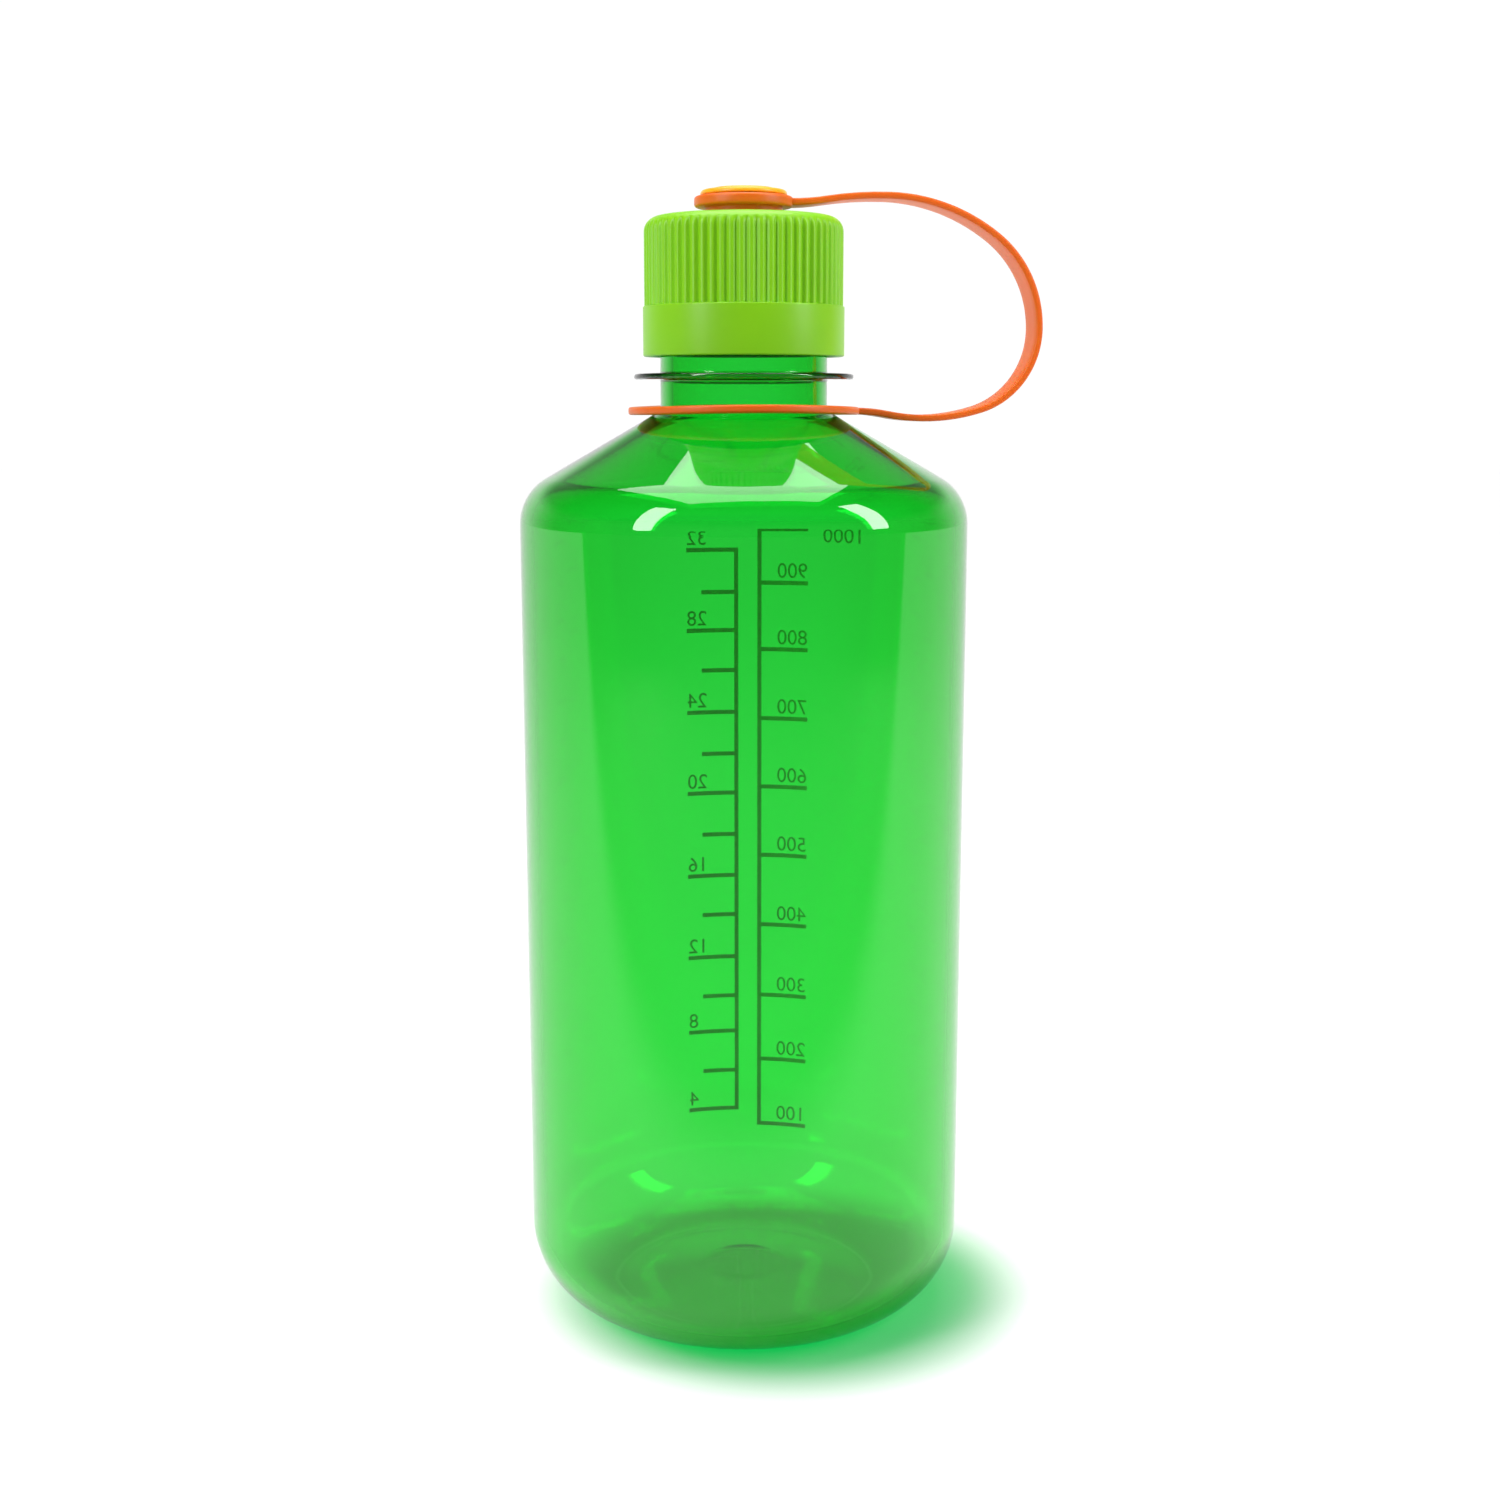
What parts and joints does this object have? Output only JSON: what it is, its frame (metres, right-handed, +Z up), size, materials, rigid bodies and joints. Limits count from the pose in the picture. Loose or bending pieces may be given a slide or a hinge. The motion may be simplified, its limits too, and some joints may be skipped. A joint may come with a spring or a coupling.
{
  "type": "screw-cap drinking bottle",
  "caption": "Round clear plastic drinking bottle with a narrow neck, a ribbed screw cap and a flexible loop that ties the cap to the neck.",
  "frame": {"origin": "middle of the circle that the base stands on, on the bottle's axis", "axes": "+Z up along the bottle's axis, +X towards the middle of the tether's loop"},
  "size_m": [0.1106, 0.094, 0.2387],
  "materials": {
    "bottle_plastic": "clear green, polished",
    "cap_plastic": "moulded satin",
    "tether_plastic": "flexible, satin",
    "button_plastic": "translucent satin"
  },
  "bodies": {
    "bottle_body": {"bottle": "bottle_plastic"},
    "button_body": {"tether_button": "button_plastic"},
    "cap_body": {"cap": "cap_plastic"},
    "tether_body": {"tether": "tether_plastic"}
  },
  "joints": [
    {"name": "cap_rise", "type": "slide", "parent": "bottle_body", "child": "button_body", "axis": [0, 0, 1], "range_m": [0, 0.00466]},
    {"name": "cap_turn", "type": "hinge", "parent": "button_body", "child": "cap_body", "pos_m": [0, 0, 0.22], "axis": [0, 0, 1], "range_deg": [0, 396]},
    {"name": "tether_swivel", "type": "hinge", "parent": "button_body", "child": "tether_body", "pos_m": [0, 0, 0.236], "axis": [0, 0, 1], "continuous": true}
  ],
  "couplings": [
    {"joint": "cap_rise", "follows": "cap_turn", "m_per_rad": 0.0006737}
  ]
}
